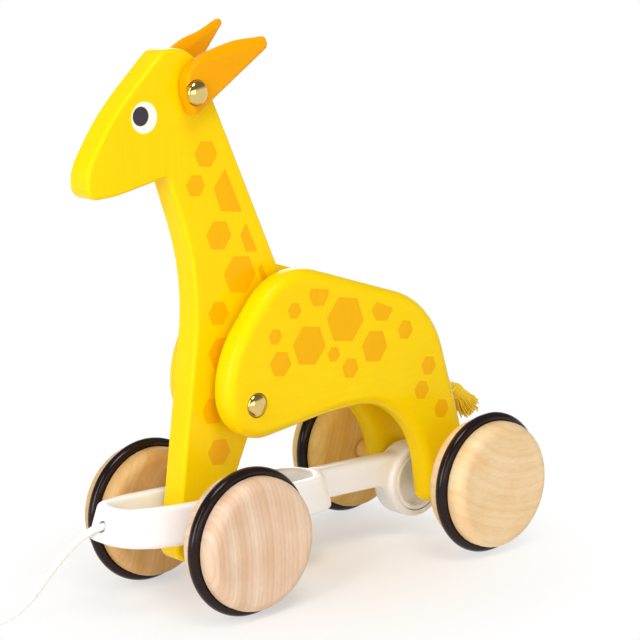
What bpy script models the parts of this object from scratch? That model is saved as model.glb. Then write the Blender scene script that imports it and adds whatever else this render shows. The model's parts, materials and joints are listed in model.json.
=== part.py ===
# Wooden giraffe pull toy: a rocking body on four wheels, driven by an off-centre rear axle.
# Frame: x forward, y to the toy's left, z up, origin on the floor under the middle of the toy.
import math

import bmesh
import bpy
from mathutils import Vector
from mathutils.geometry import interpolate_bezier

# Driving dimensions in metres
clearance = 0.0003
foot_clearance = 0.0023       # play of the hind feet on the rear axle
wheelbase = 0.1222
muzzle_reach = 0.0492         # front axle to the tip of the muzzle
tail_reach = 0.0372           # rear axle to the tip of the tail

# Wheels and axles
tyre_radius = 0.030
tyre_section = 0.0025         # radius of the ring's round section
tyre_stand = 0.0032           # how far the ring stands out of its wheel
wheel_radius = tyre_radius - tyre_stand
wheel_width = 0.0200
wheel_round = 0.0042
axle_radius = 0.002
axle_bite = 0.011             # depth of the axle in each wheel
spacer_radius = 0.0048
spacer_length = 0.0130

# Boards
neck_thickness = 0.012
neck_round = 0.0015
body_thickness = 0.012
body_round = 0.0045
washer_thickness = 0.0018     # between the neck and each body board
washer_radius = 0.0065

# Neck outline about the front axle: x, z, corner radius
neck_corners = [
    (muzzle_reach, 0.1386, 0.005),
    (muzzle_reach, 0.1498, 0.016),
    (0.0360, 0.1697, 0.100),
    (0.0104, 0.1923, 0.008),
    (-0.0040, 0.1923, 0.014),
    (-0.0497, 0.0839, 0.025),
    (-0.0015, -0.0124, 0.006),
    (0.0132, -0.0124, 0.009),
    (-0.0027, 0.1004, 0.100),
    (0.0105, 0.1434, 0.003),
    (0.0359, 0.1388, 0.060),
]

# Body outline, the hind leg about the rear axle and the front about the shoulder: x, z, corner radius
hind_corners = [
    (0.0058, 0.0759, 0.039),
    (-0.0119, 0.0125, 0.035),
    (-0.0119, -0.0123, 0.005),
    (0.0113, -0.0123, 0.004),
    (0.0169, 0.0384, 0.038),
]
front_corners = [
    (-0.0389, -0.0112, 0.150),
    (0.0145, -0.0171, 0.019),
    (0.0138, 0.0200, 0.040),
    (-0.0174, 0.0555, 0.0288),
]

# Shoulder and ear pins, placed about the front axle
shoulder_x = -0.0171
shoulder_z = 0.0497
ear_pin_x = 0.0003
ear_pin_z = 0.1753
shoulder_pin_radius = 0.003
ear_pin_radius = 0.002
ear_pin_bite = 0.0045         # depth of an ear pin in the neck
pin_head_radius = 0.005
pin_head_edge = 0.0012        # straight side of a pin head
pin_head_dome = 0.0022
shoulder_seat_depth = 0.002   # counterbore under a shoulder pin head
ear_seat_depth = 0.001        # counterbore under an ear pin head
cap_socket_depth = 0.0014

# Ear outline about its pin, along the ear and across it: u, v, corner radius
ear_corners = [
    (-0.0046, -0.0082, 0.0018),
    (0.0400, -0.0022, 0.0012),
    (0.0400, 0.0019, 0.0012),
    (0.0160, 0.0097, 0.040),
    (-0.0012, 0.0080, 0.008),
    (-0.0064, 0.0015, 0.009),
]
ear_length = 0.0400
ear_thickness = 0.0060
ear_tip_thickness = 0.0034
ear_round = 0.0016
left_ear_angle = math.radians(156.0)
right_ear_angle = math.radians(141.0)

# Rump block between the body boards, about the rear axle: x, z, corner radius
rump_corners = [
    (-0.0050, 0.0300, 0.002),
    (0.0180, 0.0300, 0.002),
    (0.0180, 0.0560, 0.002),
    (0.0026, 0.0560, 0.002),
]
rump_round = 0.0010
dowel_radius = 0.003
dowel_bite = 0.006            # depth of a dowel in each body board
dowel_places = [(0.0128, 0.0350), (0.0128, 0.0505)]

# Tail of bound yarn, hanging backwards
tail_slope = math.radians(38.0)
tail_root_x = 0.0060
tail_root_z = 0.0496
tail_rope_radius = 0.0030
tail_knot_radius = 0.0048
tail_tuft_radius = 0.0062
tail_knot_share = 0.58        # where the binding sits along the tail

# Chassis about the front axle, along the line of the two axle centres
loop_front = 0.0468
loop_rear = 0.0656
loop_half_width = 0.015
loop_wall = 0.0044
loop_power = 3.5              # squareness of the loop's plan
loop_top = 0.0137
loop_bottom = 0.0022
loop_edge = 0.0018
nose_lift = 0.0017            # how far the lower edge rises at the nose
boss_radius = 0.0065
boss_reach = 0.0222
rail_width = 0.012
rail_top = 0.0133
rail_bottom = 0.0005
rail_round = 0.0015
rail_flare = 0.009
ring_radius = 0.0162
cord_hole_radius = 0.002
cord_hole_height = 0.0075

# Eccentric drum in the chassis ring
eccentricity = 0.007
crank_phase = math.radians(125.0)
drum_radius = 0.0132
drum_width = 0.0118
drum_rim = 0.0022
drum_web = 0.004
drum_boss_radius = 0.0043

# Cord: its route in world metres, then its coil and bead
cord_radius = 0.0015
cord_route = [
    (0.0973, 0.0, 0.0396),
    (0.1015, 0.0, 0.0398),
    (0.1052, -0.0014, 0.0391),
    (0.1088, -0.0050, 0.0357),
    (0.1127, -0.0104, 0.0292),
    (0.1170, -0.0162, 0.0205),
    (0.1213, -0.0218, 0.0113),
    (0.1262, -0.0266, 0.0046),
    (0.1316, -0.0301, 0.0017),
    (0.1398, -0.0331, 0.0016),
]
cord_step = 0.004
coil_centre = (0.150, -0.052)
coil_inner_radius = 0.0133
coil_outer_radius = 0.0197
coil_height = 0.0062
bead_centre = (0.1703, -0.0338)
bead_radius = 0.007
nose_knot_radius = 0.0036

# Resolution
wheel_segments = 32
pin_segments = 16
axle_segments = 16
cord_segments = 28
loop_stations = 44
edge_steps = 2                # facets across a rounded edge
ball_steps = 8                # facets from pole to pole of a ball
arc_step = math.radians(20.0)
arc_floor = 0.0002            # smallest corner arc after an inset
edge_share = 0.98             # share of an edge that its two corner arcs may take
sharp_angle = math.radians(40.0)

# Places worked out from the driving dimensions
overall_length = muzzle_reach + wheelbase + tail_reach
front_axle = Vector((overall_length / 2 - muzzle_reach, 0, tyre_radius))
rear_axle = Vector((front_axle.x - wheelbase, 0, tyre_radius))
shoulder = front_axle + Vector((shoulder_x, 0, shoulder_z))
ear_pivot = front_axle + Vector((ear_pin_x, 0, ear_pin_z))
crank = Vector((math.cos(crank_phase), 0, math.sin(crank_phase))) * eccentricity
drum_centre = rear_axle - crank
chassis_line = front_axle - drum_centre
chassis_pitch = math.atan2(chassis_line.z, chassis_line.x)
ring_x = -chassis_line.length
neck_face = neck_thickness / 2
washer_seat = neck_face + clearance
body_inner = washer_seat + washer_thickness + clearance
body_outer = body_inner + body_thickness
front_half_track = boss_reach + clearance + wheel_width / 2
rear_half_track = body_outer + 2 * clearance + spacer_length + wheel_width / 2


def principled(name, colour, roughness, metallic=0.0):
    material = bpy.data.materials.new(name)
    material.use_nodes = True
    shader = material.node_tree.nodes["Principled BSDF"]
    shader.inputs["Base Color"].default_value = (*colour, 1.0)
    shader.inputs["Roughness"].default_value = roughness
    shader.inputs["Metallic"].default_value = metallic
    return material


def add_object(name, bm, material, place, parent=None):
    bmesh.ops.recalc_face_normals(bm, faces=bm.faces[:])
    mesh = bpy.data.meshes.new(name)
    bm.to_mesh(mesh)
    bm.free()
    mesh.shade_smooth()
    mesh.set_sharp_from_angle(angle=sharp_angle)
    mesh.materials.append(material)
    obj = bpy.data.objects.new(name, mesh)
    bpy.context.collection.objects.link(obj)
    obj.location = place
    obj.parent = parent
    return obj


def combine(target, helper, operation):
    helper.hide_render = True
    helper.display_type = "WIRE"
    helper.hide_set(True)
    modifier = target.modifiers.new(helper.name, "BOOLEAN")
    modifier.object = helper
    modifier.operation = operation
    modifier.solver = "EXACT"


# Outline with rounded corners, moved inwards by inset; every inset gives the same number of points
def rounded_outline(corners, inset):
    count = len(corners)
    points = [Vector((x, z)) for x, z, _ in corners]
    along = [(points[(i + 1) % count] - points[i]).normalized() for i in range(count)]
    inward = [Vector((-d.y, d.x)) for d in along]
    moved = []
    turns = []
    for i in range(count):
        before = along[i - 1]
        after = along[i]
        turn = math.atan2(before.x * after.y - before.y * after.x, before.dot(after))
        turns.append(turn)
        bisector = inward[i - 1] + inward[i]
        moved.append(points[i] + bisector * (inset / (1 + inward[i - 1].dot(inward[i]))))
    tangents = []
    for i in range(count):
        radius = corners[i][2] - math.copysign(inset, turns[i])
        tangents.append(max(radius, arc_floor) * math.tan(abs(turns[i]) / 2))
    edges = [(moved[(i + 1) % count] - moved[i]).length for i in range(count)]
    needs = [tangents[i] + tangents[(i + 1) % count] for i in range(count)]
    shares = [min(1.0, edge_share * edge / need) for edge, need in zip(edges, needs)]
    outline = []
    for i in range(count):
        reach = tangents[i] * min(shares[i - 1], shares[i])
        radius = reach / math.tan(abs(turns[i]) / 2)
        side = math.copysign(1.0, turns[i])
        centre = moved[i] - along[i - 1] * reach + inward[i - 1] * (radius * side)
        start = -inward[i - 1] * side
        steps = max(2, math.ceil(abs(turns[i]) / arc_step))
        for k in range(steps + 1):
            angle = turns[i] * k / steps
            arm = Vector((start.x * math.cos(angle) - start.y * math.sin(angle),
                          start.x * math.sin(angle) + start.y * math.cos(angle)))
            outline.append(centre + arm * radius)
    return outline


# Mesh through a stack of closed loops with equal counts, capped at both ends
def loft(loops):
    bm = bmesh.new()
    rows = [[bm.verts.new(point) for point in loop] for loop in loops]
    count = len(rows[0])
    for low, high in zip(rows, rows[1:]):
        for i in range(count):
            j = (i + 1) % count
            bm.faces.new((low[i], low[j], high[j], high[i]))
    bm.faces.new(rows[0])
    bm.faces.new(rows[-1])
    return bm


# Board with its faces at y_low and y_high and rounded edges; outline gives x and z for an inset
def board(outline, y_low, y_high, edge_radius):
    quarter = [math.pi / 2 * k / edge_steps for k in range(edge_steps + 1)]
    layers = []
    for angle in quarter:
        layers.append((edge_radius * (1 - math.sin(angle)), y_low + edge_radius * (1 - math.cos(angle))))
    for angle in reversed(quarter):
        layers.append((edge_radius * (1 - math.sin(angle)), y_high - edge_radius * (1 - math.cos(angle))))
    loops = []
    for inset, y in layers:
        loops.append([(point.x, y, point.y) for point in outline(inset)])
    return loft(loops)


def cornered(corners):
    return lambda inset: rounded_outline(corners, inset)


# Solid turned about the y axis from a profile of radius and y that starts and ends on the axis,
# or closes on itself
def turned(profile, segments, closed=False):
    bm = bmesh.new()
    rows = []
    for radius, y in profile:
        if radius == 0:
            rows.append([bm.verts.new((0, y, 0))] * segments)
            continue
        row = []
        for k in range(segments):
            angle = 2 * math.pi * k / segments
            row.append(bm.verts.new((radius * math.cos(angle), y, radius * math.sin(angle))))
        rows.append(row)
    pairs = list(zip(rows, rows[1:]))
    if closed:
        pairs.append((rows[-1], rows[0]))
    for low, high in pairs:
        for i in range(segments):
            j = (i + 1) % segments
            corners = list(dict.fromkeys((low[i], low[j], high[j], high[i])))
            bm.faces.new(corners)
    return bm


def arc_profile(centre_radius, centre_y, radius, start, end, steps):
    angles = [start + (end - start) * k / steps for k in range(steps + 1)]
    return [(centre_radius + radius * math.cos(a), centre_y + radius * math.sin(a)) for a in angles]


def rod(radius, y_low, y_high, segments=pin_segments):
    return turned([(0, y_low), (radius, y_low), (radius, y_high), (0, y_high)], segments)


def ball(radius):
    middle = arc_profile(0, 0, radius, -math.pi / 2, math.pi / 2, ball_steps)[1:-1]
    return turned([(0, -radius)] + middle + [(0, radius)], pin_segments)


# Round hole along y through the target, at x and z from the target's origin
def bore(target, label, radius, y_low, y_high, x=0.0, z=0.0, segments=pin_segments):
    place = target.location + Vector((x, 0, z))
    cutter = add_object(target.name + "_" + label, rod(radius, y_low, y_high, segments),
                        target.data.materials[0], place, target.parent)
    combine(target, cutter, "DIFFERENCE")


def mirror_y(bm):
    for vert in bm.verts:
        vert.co.y = -vert.co.y
    return bm


def make_chassis(material):
    frame = bpy.data.objects.new("chassis_line", None)
    bpy.context.collection.objects.link(frame)
    frame.location = front_axle
    frame.rotation_euler.y = -chassis_pitch
    middle = (loop_front - loop_rear) / 2
    half_length = (loop_front + loop_rear) / 2
    chassis = add_object("chassis", chassis_loop(middle, half_length), material, (0, 0, 0), frame)

    rail = board(rail_outline, -rail_width / 2, rail_width / 2, rail_round)
    combine(chassis, add_object("rail", rail, material, (0, 0, 0), frame), "UNION")

    for side, label in ((1, "left_boss"), (-1, "right_boss")):
        boss = rod(boss_radius, washer_seat, boss_reach)
        if side < 0:
            mirror_y(boss)
        combine(chassis, add_object(label, boss, material, (0, 0, 0), frame), "UNION")

    bore(chassis, "drum_bore", drum_radius + clearance, -rail_width, rail_width, ring_x, 0.0, wheel_segments)
    bore(chassis, "axle_bore", axle_radius + clearance, -2 * boss_reach, 2 * boss_reach)
    hole = rod(cord_hole_radius, -loop_wall, loop_wall)
    cutter = add_object("cord_hole", hole, material, (loop_front, 0, cord_hole_height), frame)
    cutter.rotation_euler.z = math.pi / 2
    combine(chassis, cutter, "DIFFERENCE")
    return frame


def arc_points(centre, radius, start, end, steps):
    angles = [start + (end - start) * k / steps for k in range(steps + 1)]
    return [centre + Vector((math.cos(a), math.sin(a))) * radius for a in angles]


# Side view of the rail and the ring, which it meets in two flares
def rail_outline(inset):
    start = loop_wall / 2 - loop_rear
    top = rail_top - inset
    bottom = rail_bottom + inset
    radius = ring_radius - inset
    flare = rail_flare + inset
    middle = Vector((ring_x, 0))
    reach = radius + flare
    top_rise = top + flare
    low_rise = bottom - flare
    top_angle = math.asin(top_rise / reach)
    low_angle = math.asin(low_rise / reach)
    top_centre = middle + Vector((math.cos(top_angle), math.sin(top_angle))) * reach
    low_centre = middle + Vector((math.cos(low_angle), math.sin(low_angle))) * reach
    outline = [Vector((start, top))]
    outline += arc_points(top_centre, flare, -math.pi / 2, top_angle - math.pi, 4)
    outline += arc_points(middle, radius, top_angle, 2 * math.pi + low_angle, 18)[1:]
    outline += arc_points(low_centre, flare, math.pi + low_angle, math.pi / 2, 5)[1:]
    outline.append(Vector((start, bottom)))
    return outline


# Closed band of the chassis, a rounded section swept round a squared oval
def chassis_loop(middle, half_length):
    loops = []
    for k in range(loop_stations):
        angle = 2 * math.pi * k / loop_stations
        c = math.cos(angle)
        s = math.sin(angle)
        cx = math.copysign(abs(c) ** (2 / loop_power), c)
        sy = math.copysign(abs(s) ** (2 / loop_power), s)
        outer = Vector((middle + half_length * cx, loop_half_width * sy))
        inner = Vector((middle + (half_length - loop_wall) * cx, (loop_half_width - loop_wall) * sy))
        across = (outer - inner).normalized()
        low = -loop_bottom + nose_lift * max(0.0, cx) ** 4
        section = []
        for corner, edge, start in ((outer, -1, -90), (outer, 1, 0), (inner, 1, 90), (inner, -1, 180)):
            out = 1 if corner is outer else -1
            base = corner - across * (loop_edge * out)
            level = loop_top - loop_edge if edge > 0 else low + loop_edge
            for step in range(3):
                turn = math.radians(start + 45 * step)
                spot = base + across * (loop_edge * math.cos(turn))
                section.append((spot.x, spot.y, level + loop_edge * math.sin(turn)))
        loops.append(section)
    bm = bmesh.new()
    rows = [[bm.verts.new(point) for point in loop] for loop in loops]
    count = len(rows[0])
    for k in range(loop_stations):
        low = rows[k]
        high = rows[(k + 1) % loop_stations]
        for i in range(count):
            j = (i + 1) % count
            bm.faces.new((low[i], low[j], high[j], high[i]))
    return bm


def make_drum(material):
    rim = drum_radius - drum_rim
    half = drum_width / 2
    web = drum_web / 2
    profile = [(0, -web), (rim, -web), (rim, -half), (drum_radius, -half)]
    profile += [(drum_radius, half), (rim, half), (rim, web), (0, web)]
    drum = add_object("eccentric_drum", turned(profile, wheel_segments), material, drum_centre)
    boss = add_object("drum_boss", rod(drum_boss_radius, -half, half), material, rear_axle)
    combine(drum, boss, "UNION")
    bore(drum, "axle_bore", axle_radius + clearance, -drum_width, drum_width, crank.x, crank.z)


def wheel_profile():
    half = wheel_width / 2
    seat = wheel_radius - wheel_round
    ring_centre = tyre_radius - tyre_section
    groove = tyre_section + clearance
    reach = math.acos((wheel_radius - ring_centre) / groove)
    bottom = axle_bite - half + clearance
    bore_radius = axle_radius + clearance
    profile = [(0, bottom), (bore_radius, bottom), (bore_radius, -half)]
    profile += arc_profile(seat, wheel_round - half, wheel_round, -math.pi / 2, 0, edge_steps)
    profile += arc_profile(ring_centre, 0, groove, 2 * math.pi - reach, reach, 2 * edge_steps)
    profile += arc_profile(seat, half - wheel_round, wheel_round, 0, math.pi / 2, edge_steps)
    profile += [(0, half)]
    return profile


def make_wheelset(end, axle, half_track, wood, rubber, steel):
    reach = half_track - wheel_width / 2 + axle_bite
    add_object(end + "_axle", rod(axle_radius, -reach, reach, axle_segments), steel, axle)
    ring = arc_profile(tyre_radius - tyre_section, 0, tyre_section, 0, 2 * math.pi, ball_steps)[:-1]
    for side, label in ((1, "left"), (-1, "right")):
        place = axle + Vector((0, side * half_track, 0))
        wheel = turned(wheel_profile(), wheel_segments)
        if side < 0:
            mirror_y(wheel)
        add_object(end + "_" + label + "_wheel", wheel, wood, place)
        tyre = turned(ring, wheel_segments, closed=True)
        add_object(end + "_" + label + "_tyre", tyre, rubber, place)


def make_spacers(material):
    start = body_outer + clearance
    hole = axle_radius + clearance
    for side, label in ((1, "left"), (-1, "right")):
        low = side * start
        high = side * (start + spacer_length)
        profile = [(hole, low), (spacer_radius, low), (spacer_radius, high), (hole, high)]
        tube = turned(profile, pin_segments, closed=True)
        add_object("rear_" + label + "_spacer", tube, material, rear_axle)


# Turned pin along y, its domed head on a seat; a tip beyond the seat makes a cap with a socket
def pin_profile(shaft_radius, tip, seat):
    edge = seat + pin_head_edge
    profile = [(0, tip), (shaft_radius, tip), (shaft_radius, seat), (pin_head_radius, seat)]
    for k in range(4):
        turn = math.pi / 2 * k / 4
        profile.append((pin_head_radius * math.cos(turn), edge + pin_head_dome * math.sin(turn)))
    profile.append((0, edge + pin_head_dome))
    return profile


def make_neck(material):
    neck = board(cornered(neck_corners), -neck_face, neck_face, neck_round)
    neck = add_object("neck_board", neck, material, front_axle)
    bore(neck, "axle_bore", axle_radius + clearance, -neck_thickness, neck_thickness)
    bore(neck, "shoulder_bore", shoulder_pin_radius + clearance, -neck_thickness, neck_thickness,
         shoulder_x, shoulder_z)
    depth = neck_face - ear_pin_bite - clearance
    bore(neck, "left_ear_bore", ear_pin_radius + clearance, depth, neck_thickness, ear_pin_x, ear_pin_z)
    bore(neck, "right_ear_bore", ear_pin_radius + clearance, -neck_thickness, -depth, ear_pin_x, ear_pin_z)


def make_ears(orange, brass):
    inner = neck_face + clearance
    seat = inner + ear_thickness - ear_seat_depth
    for side, label, angle in ((1, "left", left_ear_angle), (-1, "right", right_ear_angle)):
        along = Vector((math.cos(angle), math.sin(angle)))
        across = Vector((along.y, -along.x))
        ear = board(cornered(ear_corners), 0, ear_thickness, ear_round)
        for vert in ear.verts:
            u, y, v = vert.co
            taper = max(0.0, u / ear_length)
            thickness = ear_thickness + (ear_tip_thickness - ear_thickness) * taper
            spot = along * u + across * v
            inset = ear_thickness - thickness
            vert.co = (spot.x, side * (inner + inset + y * thickness / ear_thickness), spot.y)
        ear = add_object(label + "_ear", ear, orange, ear_pivot)
        far = inner + 2 * ear_thickness
        low, high = sorted((0.0, side * far))
        bore(ear, "pin_bore", ear_pin_radius + clearance, low, high)
        low, high = sorted((side * seat, side * far))
        bore(ear, "pin_seat", pin_head_radius + clearance, low, high)
        pin = turned(pin_profile(ear_pin_radius, neck_face - ear_pin_bite, seat + clearance), pin_segments)
        if side < 0:
            mirror_y(pin)
        add_object(label + "_ear_pin", pin, brass, ear_pivot)


def body_corners():
    leg = rear_axle - shoulder
    corners = [(x + leg.x, z + leg.z, radius) for x, z, radius in hind_corners]
    return corners + front_corners


def make_body(yellow, wood, brass, white):
    leg = rear_axle - shoulder
    seat = body_outer - shoulder_seat_depth
    for side, label in ((1, "left"), (-1, "right")):
        body = board(cornered(body_corners()), body_inner, body_outer, body_round)
        if side < 0:
            mirror_y(body)
        body = add_object(label + "_body_board", body, yellow, shoulder)
        low, high = sorted((0.0, side * 2 * body_outer))
        bore(body, "pin_bore", shoulder_pin_radius + clearance, low, high)
        bore(body, "axle_bore", axle_radius + foot_clearance, low, high, leg.x, leg.z)
        low, high = sorted((side * seat, side * 2 * body_outer))
        bore(body, "pin_seat", pin_head_radius + clearance, low, high)
        low, high = sorted((0.0, side * (body_inner + dowel_bite + clearance)))
        for number, (x, z) in enumerate(dowel_places):
            bore(body, "dowel_bore_" + str(number), dowel_radius + clearance, low, high, leg.x + x, leg.z + z)

    pin_seat = seat + clearance
    socket = pin_seat + cap_socket_depth
    pin = turned(pin_profile(shoulder_pin_radius, clearance - socket, pin_seat), pin_segments)
    add_object("shoulder_pin", pin, brass, shoulder)
    cap = pin_profile(shoulder_pin_radius + clearance, socket, pin_seat)
    add_object("shoulder_cap", mirror_y(turned(cap, pin_segments)), brass, shoulder)

    tube = [(shoulder_pin_radius + clearance, washer_seat), (washer_radius, washer_seat)]
    tube += [(radius, y + washer_thickness) for radius, y in reversed(tube)]
    for side, label in ((1, "left"), (-1, "right")):
        washer = turned(tube, pin_segments, closed=True)
        if side < 0:
            mirror_y(washer)
        add_object(label + "_shoulder_washer", washer, white, shoulder)

    block_half = body_inner - clearance
    block = board(cornered(rump_corners), -block_half, block_half, rump_round)
    block = add_object("rump_block", block, wood, rear_axle)
    reach = body_inner + dowel_bite
    for (x, z), label in zip(dowel_places, ("lower", "upper")):
        bore(block, label + "_dowel_bore", dowel_radius + clearance, -reach, reach, x, z)
        place = rear_axle + Vector((x, 0, z))
        add_object(label + "_rump_dowel", rod(dowel_radius, -reach, reach), wood, place)
    return block


def make_tail(block, material):
    tip_x = tail_tuft_radius * math.sin(tail_slope) - tail_reach
    length = (tail_root_x - tip_x) / math.cos(tail_slope)
    knot = length * tail_knot_share
    profile = [
        (0, 0),
        (tail_rope_radius, 0),
        (tail_rope_radius, knot - 2 * tail_knot_radius),
        (tail_knot_radius, knot - tail_knot_radius),
        (tail_knot_radius, knot),
        (tail_rope_radius, knot + tail_knot_radius / 2),
        (tail_tuft_radius, length - tail_knot_radius / 2),
        (tail_tuft_radius, length),
        (0, length),
    ]
    place = rear_axle + Vector((tail_root_x, 0, tail_root_z))
    tail = add_object("tail", turned(profile, pin_segments), material, place)
    tail.rotation_euler = tail_turn()
    hole = rod(tail_rope_radius + clearance, -clearance, length)
    cutter = add_object("tail_hole", hole, material, place)
    cutter.rotation_euler = tail_turn()
    combine(block, cutter, "DIFFERENCE")


# Turns the y axis backwards and down along the tail
def tail_turn():
    direction = Vector((-math.cos(tail_slope), 0, -math.sin(tail_slope)))
    return direction.to_track_quat("Y", "Z").to_euler()


# Smooth curve through the route, read at even steps
def smooth_route(route, step):
    points = [Vector(point) for point in route]
    ends = [points[0]] + points + [points[-1]]
    dense = []
    for i in range(1, len(ends) - 2):
        first = ends[i]
        last = ends[i + 1]
        handle_a = first + (last - ends[i - 1]) / 6
        handle_b = last - (ends[i + 2] - first) / 6
        dense += interpolate_bezier(first, handle_a, handle_b, last, 24)[:-1]
    dense.append(points[-1])
    lengths = [0.0]
    for a, b in zip(dense, dense[1:]):
        lengths.append(lengths[-1] + (b - a).length)
    count = math.ceil(lengths[-1] / step)
    wanted = [lengths[-1] * k / count for k in range(count + 1)]
    return [dense[min(range(len(dense)), key=lambda i: abs(lengths[i] - w))] for w in wanted]


def make_cord(frame, material, wood):
    inner_wall = loop_front - loop_wall
    place = (inner_wall - clearance - nose_knot_radius, 0, cord_hole_height)
    add_object("nose_knot", ball(nose_knot_radius), material, place, frame)

    curve = bpy.data.curves.new("pull_cord", "CURVE")
    curve.dimensions = "3D"
    curve.bevel_depth = cord_radius
    curve.bevel_resolution = 2
    curve.use_fill_caps = True
    spots = smooth_route(cord_route, cord_step)
    spline = curve.splines.new("POLY")
    spline.points.add(len(spots) - 1)
    for point, spot in zip(spline.points, spots):
        point.co = (*spot, 1.0)
    curve.materials.append(material)
    cord = bpy.data.objects.new("pull_cord", curve)
    bpy.context.collection.objects.link(cord)

    coil = [(coil_inner_radius, 0), (coil_outer_radius, 0), (coil_outer_radius, coil_height)]
    coil += [(coil_inner_radius, coil_height)]
    ring = add_object("cord_coil", turned(coil, cord_segments, closed=True), material, (*coil_centre, 0))
    ring.rotation_euler.x = math.pi / 2
    add_object("cord_bead", ball(bead_radius), wood, (*bead_centre, bead_radius))


def main():
    for obj in list(bpy.data.objects):
        bpy.data.objects.remove(obj, do_unlink=True)
    yellow = principled("yellow_paint", (0.98, 0.66, 0.002), 0.4)
    orange = principled("orange_paint", (0.95, 0.39, 0.0), 0.4)
    maple = principled("maple", (0.82, 0.60, 0.38), 0.55)
    rubber = principled("black_rubber", (0.03, 0.025, 0.025), 0.5)
    white = principled("white_plastic", (0.9, 0.88, 0.84), 0.35)
    brass = principled("brass", (0.85, 0.62, 0.25), 0.25, 1.0)
    steel = principled("steel", (0.6, 0.6, 0.6), 0.3, 1.0)
    yarn = principled("yellow_yarn", (0.95, 0.62, 0.03), 0.9)
    cotton = principled("white_cotton", (0.88, 0.87, 0.84), 0.9)

    frame = make_chassis(white)
    make_drum(white)
    make_wheelset("front", front_axle, front_half_track, maple, rubber, steel)
    make_wheelset("rear", rear_axle, rear_half_track, maple, rubber, steel)
    make_spacers(maple)
    make_neck(yellow)
    make_ears(orange, brass)
    block = make_body(yellow, maple, brass, white)
    make_tail(block, yarn)
    make_cord(frame, cotton, maple)


main()
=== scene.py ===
import json
from functools import partial
from math import acos, asin, atan2, ceil, copysign, cos, degrees, floor, pi, radians, sin, sqrt, tan

import bmesh
import bpy
from mathutils import Matrix, Vector
from mathutils.geometry import convex_hull_2d, interpolate_bezier


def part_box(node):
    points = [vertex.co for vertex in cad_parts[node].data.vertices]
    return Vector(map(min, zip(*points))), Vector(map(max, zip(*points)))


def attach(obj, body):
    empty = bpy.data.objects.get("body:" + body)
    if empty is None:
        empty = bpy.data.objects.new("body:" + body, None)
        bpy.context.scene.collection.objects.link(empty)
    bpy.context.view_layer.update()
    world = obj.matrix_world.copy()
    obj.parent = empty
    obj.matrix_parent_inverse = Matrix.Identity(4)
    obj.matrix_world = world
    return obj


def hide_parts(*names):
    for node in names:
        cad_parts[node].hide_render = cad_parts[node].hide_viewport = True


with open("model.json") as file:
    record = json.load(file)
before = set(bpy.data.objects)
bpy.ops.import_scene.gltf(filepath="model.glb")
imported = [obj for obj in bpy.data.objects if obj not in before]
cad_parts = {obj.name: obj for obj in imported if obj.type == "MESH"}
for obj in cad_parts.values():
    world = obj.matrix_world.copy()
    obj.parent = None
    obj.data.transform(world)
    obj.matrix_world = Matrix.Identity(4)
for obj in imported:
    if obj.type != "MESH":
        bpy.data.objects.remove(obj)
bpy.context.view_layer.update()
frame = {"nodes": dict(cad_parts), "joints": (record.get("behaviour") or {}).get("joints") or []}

scene = bpy.context.scene
scene.view_settings.view_transform = "Standard"
mm = 0.001
gap = 0.3 * mm  # running clearance between pieces
pivots = {joint["name"]: Vector(joint["pos_m"]) for joint in frame["joints"]}
frontAxle = pivots["front_wheels_roll"]
rearAxle = pivots["rear_wheels_roll"]
shoulder = pivots["body_rock"]
earPivot = pivots["left_ear_turn"]
drumCentre = pivots["drum_turn"]
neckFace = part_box("neck_board")[1].y
bodyInner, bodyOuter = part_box("left_body_board")[0].y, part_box("left_body_board")[1].y
flanks = ((1, "left"), (-1, "right"))
print("frame loaded,", len(frame["nodes"]), "solids")


def linear(hexColour):  # sRGB hex to linear
    parts = [int(hexColour[i:i + 2], 16) / 255 for i in (1, 3, 5)]
    return (*[p / 12.92 if p <= 0.04045 else ((p + 0.055) / 1.055) ** 2.4 for p in parts], 1.0)


def setInputs(node, inputs):  # sockets are linked, values are set
    for name, value in inputs.items():
        if isinstance(value, bpy.types.NodeSocket):
            node.id_data.links.new(value, node.inputs[name])
        else:
            node.inputs[name].default_value = value


def addNode(tree, kind, inputs, output=0, **settings):  # one node, set and linked; gives one of its outputs
    node = tree.nodes.new("ShaderNode" + kind)
    for name, value in settings.items():
        setattr(node, name, value)
    setInputs(node, inputs)
    return node.outputs[output]


def newMaterial(name, **values):  # Principled material with plain values, its node adder and coordinates
    material = bpy.data.materials.new(name)
    material.use_nodes = True
    add = partial(addNode, material.node_tree)
    dress(material, {label.replace("_", " "): value for label, value in values.items()})
    return material, add, add("TexCoord", {}, "Object")


def dress(material, surface):  # values and links for the shader
    setInputs(material.node_tree.nodes["Principled BSDF"], surface)
    return material


def dressSkin(material, add, colour, gloss, roughness, height, strength, depth):  # uneven gloss and relief
    rough = add("MapRange", {"Value": gloss, "To Min": roughness[0], "To Max": roughness[1]})
    bump = add("Bump", {"Height": height, "Strength": strength, "Distance": depth})
    return dress(material, {"Base Color": colour, "Roughness": rough, "Normal": bump})


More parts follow.
